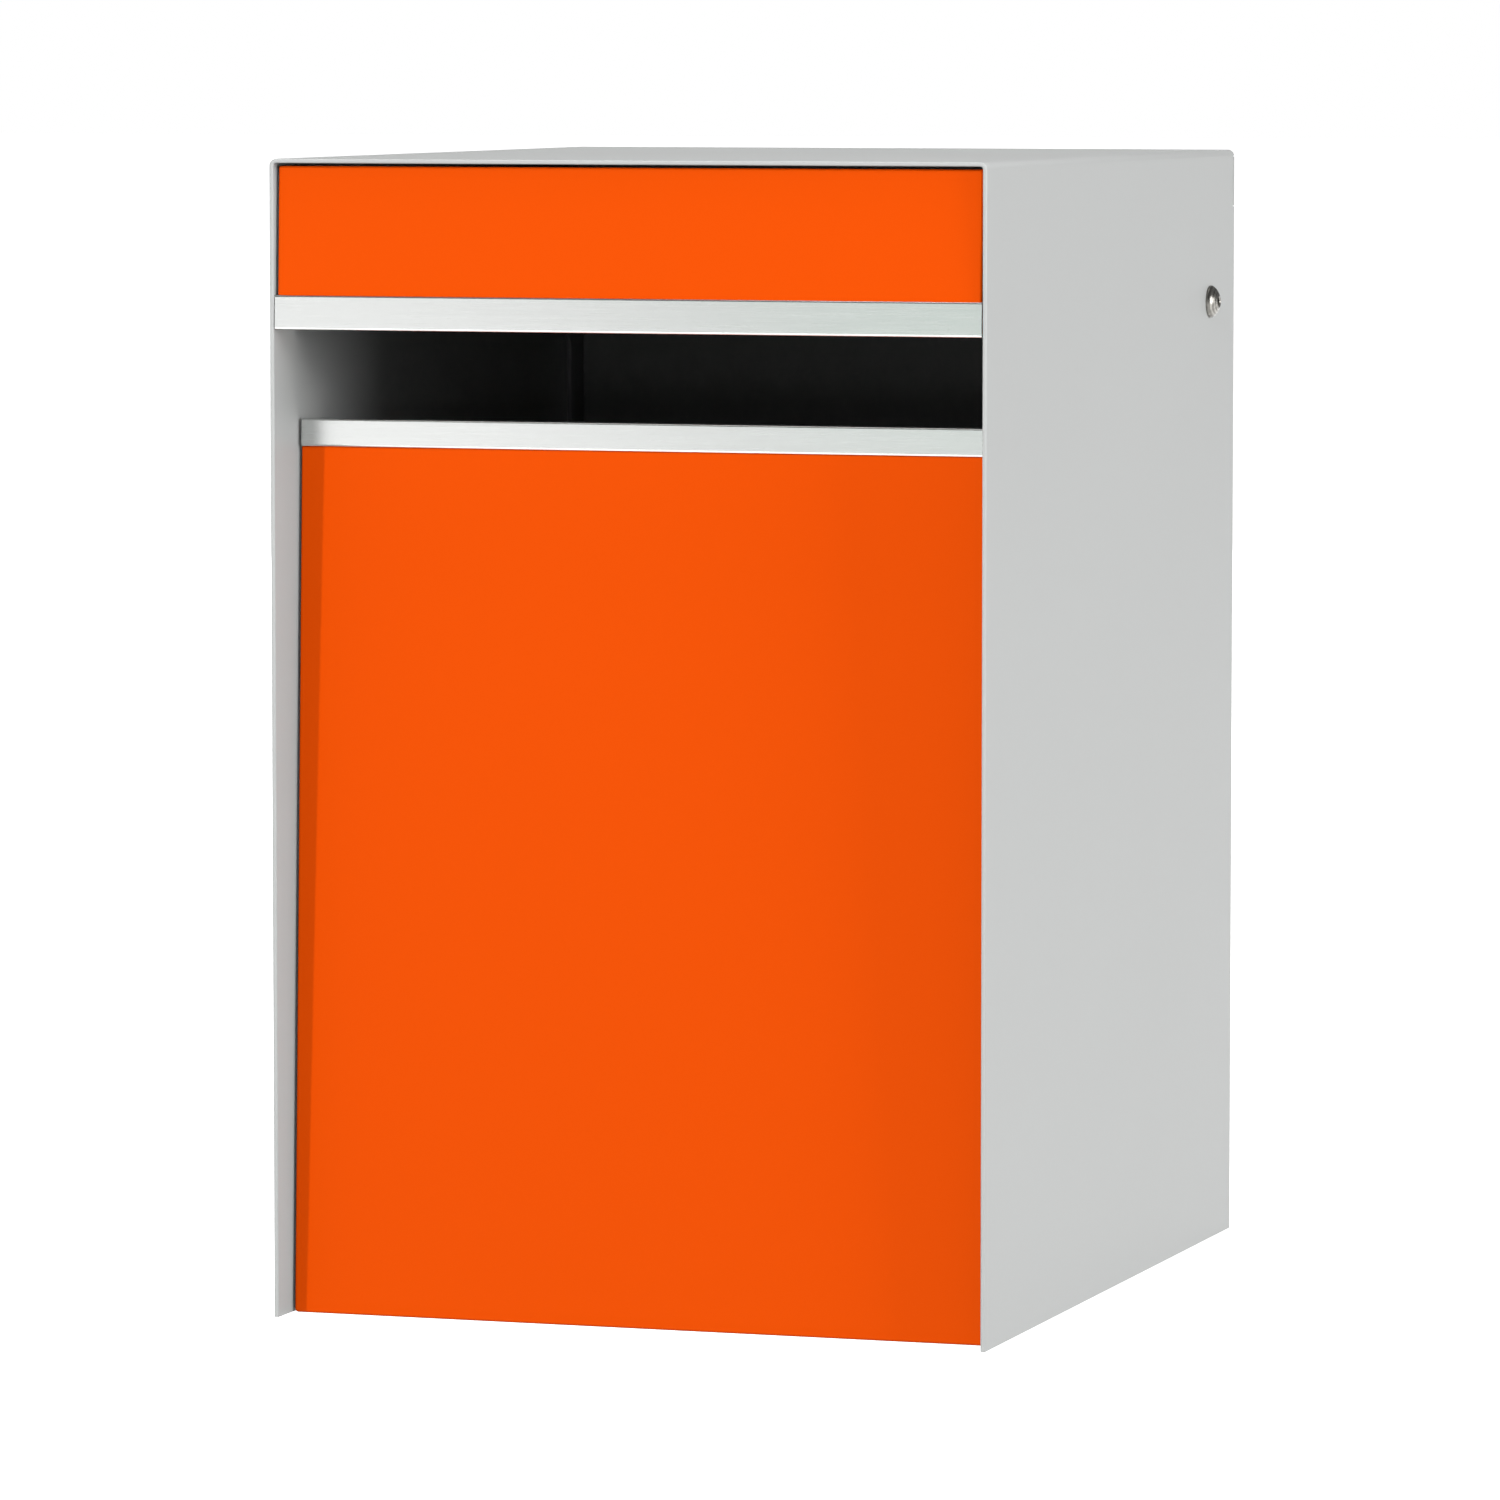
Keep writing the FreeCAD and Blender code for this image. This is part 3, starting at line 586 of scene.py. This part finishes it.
def lock_barrel(mesh, low, high):
    """Rounded rim behind the door, and a threaded barrel through it."""
    start, length, radius = lock_axis(low, high)
    rim = start.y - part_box("rear_door")[1].y
    neck_end = rim + BARREL_NECK
    rings = [(0.4 * MM, LOCK_BORE), (0.1 * MM, LOCK_BORE + 0.2 * MM), (0.0, LOCK_BORE + 0.5 * MM),
             (0.0, radius - 1.7 * MM), (0.08 * MM, radius - 1.1 * MM), (0.3 * MM, radius - 0.5 * MM),
             (0.65 * MM, radius - 0.12 * MM), (1.1 * MM, radius), (rim, radius), (rim, BARREL_RADIUS),
             (neck_end, BARREL_RADIUS)]
    rings += thread(neck_end + 0.1 * MM, length - 0.8 * MM, BARREL_RADIUS, BARREL_PITCH)
    rings += [(length, BARREL_RADIUS - 0.9 * MM), (length, LOCK_BORE)]
    turn_piece(mesh, start, FORWARD, rings, hollow=True, segments=FINE_SEGMENTS)


def barrel_nut(mesh, low, high):
    start, length, _ = lock_axis(low, high)
    rings = nut_rings(BARREL_NUT_FLATS, length, BARREL_RADIUS + BORE_CLEARANCE)
    turn_piece(mesh, start, FORWARD, rings, hollow=True, segments=FINE_SEGMENTS)


def rubber_button(mesh, low, high):
    """Low domed button with a dimple, on the floor's rear flange."""
    centre = (low + high) / 2
    length = high.y - low.y
    radius = (high.z - low.z) / 2
    profile = [(0.0, 1.0), (0.45, 1.0), (0.75, 0.95), (0.93, 0.84), (1.0, 0.68),
               (1.0, 0.36), (0.9, 0.26), (0.6, 0.2)]
    rings = [(distance * length, reach * radius) for distance, reach in profile]
    turn_piece(mesh, Vector((centre.x, low.y, centre.z)), Vector((0.0, 1.0, 0.0)), rings)


remake("lock_body", "threaded_lock_barrel", lock_barrel)
remake("lock_nut", "thin_barrel_nut", barrel_nut)
remake("door_bumpers", "rubber_buttons", rubber_button)


# ---- studio -----------------------------------------------------------------------------------------
WHITE = (1.0, 1.0, 1.0)
FLOOR_GREY = (0.86, 0.86, 0.86)
FLOOR_HALF = 30.0
FLOOR_GLOW = 1.0                    # shows the floor as plain white, whatever light falls on it
SKY = 0.22                          # strength of the surroundings as the object sees them
HORIZON_BAND = 0.02                 # half the height of their bright band, as a direction's Z
LIGHTS_AIM = Vector((0.0, 0.0, 0.2))
TRIM_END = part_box("upper_trim")[1]
PALE_GREEN = (0.35, 1.0, 0.68)      # a tinted reflection at the trims' right ends

CAMERA_AZIMUTH = 18.2
CAMERA_ELEVATION = 4.8
CAMERA_DISTANCE = 2.99
CAMERA_LENS = 206.1                 # mm on a 36 mm sensor
CAMERA_AIM = Vector((-0.0063, -0.0021, 0.1829))
FARTHEST_SEEN = 100.0


def floor():
    """Plain pale floor, which casts no bounced light on the object."""
    m = Material("studio_floor")
    shade = m.span(m.noise(0.8, detail=1.0), 0.99, 1.01)
    m.shader.inputs["Emission Color"].default_value = (*WHITE, 1.0)
    m.shader.inputs["Emission Strength"].default_value = FLOOR_GLOW
    mesh = bpy.data.meshes.new("studio_floor")
    corners = [(x * FLOOR_HALF, y * FLOOR_HALF, 0.0) for x, y in ((-1, -1), (1, -1), (1, 1), (-1, 1))]
    mesh.from_pydata(corners, [], [(0, 1, 2, 3)])
    mesh.materials.append(m.finish(m.tint(FLOOR_GREY, shade), 0.9))
    obj = bpy.data.objects.new("studio_floor", mesh)
    obj.visible_diffuse = False
    bpy.context.scene.collection.objects.link(obj)


def surroundings():
    """Dim even surroundings with a white band along the horizon, and plain white behind the object."""
    world = bpy.data.worlds.new("studio")
    world.use_nodes = True
    bpy.context.scene.world = world
    t = Tree(world.node_tree)
    split = t.add("ShaderNodeSeparateXYZ")
    t.put(split.inputs[0], t.add("ShaderNodeTexCoord").outputs["Generated"])
    horizon = t.math("COMPARE", split.outputs["Z"], 0.0, HORIZON_BAND)
    lighting = t.math("MAXIMUM", horizon, SKY)
    backdrop = t.add("ShaderNodeLightPath").outputs["Is Camera Ray"]
    background = t.tree.nodes["Background"]
    background.inputs["Color"].default_value = (*WHITE, 1.0)
    t.put(background.inputs["Strength"], t.math("MAXIMUM", lighting, backdrop))


def direction(azimuth, elevation):
    """Direction at these angles in degrees. Azimuth 0 is straight in front, and positive angles are to
    the right."""
    a = math.radians(azimuth)
    e = math.radians(elevation)
    return Vector((math.sin(a) * math.cos(e), -math.cos(a) * math.cos(e), math.sin(e)))


def add_aimed(name, data, aim, towards, distance):
    """Add a light or camera that looks at a point from a distance in some direction."""
    obj = bpy.data.objects.new(name, data)
    obj.location = aim + towards * distance
    obj.rotation_mode = "QUATERNION"
    obj.rotation_quaternion = towards.to_track_quat("Z", "Y")
    bpy.context.scene.collection.objects.link(obj)
    return obj


def softbox(name, azimuth, elevation, distance, size, power, aim=LIGHTS_AIM, colour=WHITE,
            diffuse=True, glossy=True):
    """Square area light, for matt reflections, glossy ones or both."""
    light = bpy.data.lights.new(name, "AREA")
    light.size = size
    light.energy = power
    light.color = colour
    obj = add_aimed(name, light, aim, direction(azimuth, elevation), distance)
    obj.visible_camera = False
    obj.visible_diffuse = diffuse
    obj.visible_glossy = glossy


def camera():
    data = bpy.data.cameras.new("camera")
    data.lens = CAMERA_LENS
    data.clip_end = FARTHEST_SEEN
    towards = direction(CAMERA_AZIMUTH, CAMERA_ELEVATION)
    bpy.context.scene.camera = add_aimed("camera", data, CAMERA_AIM, towards, CAMERA_DISTANCE)


floor()
surroundings()
softbox("key_light", azimuth=-23, elevation=16, distance=4.0, size=0.08, power=40.0, glossy=False)
softbox("front_fill", azimuth=5, elevation=28, distance=4.0, size=1.2, power=74.0, glossy=False)
softbox("right_fill", azimuth=80, elevation=8, distance=4.0, size=2.0, power=108.0)
softbox("top_fill", azimuth=0, elevation=88, distance=4.0, size=2.0, power=36.0)
softbox("rear_fill", azimuth=200, elevation=15, distance=4.0, size=2.0, power=60.0, glossy=False)
softbox("left_fill", azimuth=-110, elevation=15, distance=4.0, size=2.0, power=40.0, glossy=False)
softbox("trim_reflection", azimuth=-27, elevation=8, distance=1.4, size=0.5, power=0.53, diffuse=False)
softbox("green_reflection", azimuth=-17, elevation=2, distance=0.6, size=0.12, power=0.012,
        aim=TRIM_END, colour=PALE_GREEN, diffuse=False)
camera()
bpy.context.scene.view_settings.view_transform = "Standard"
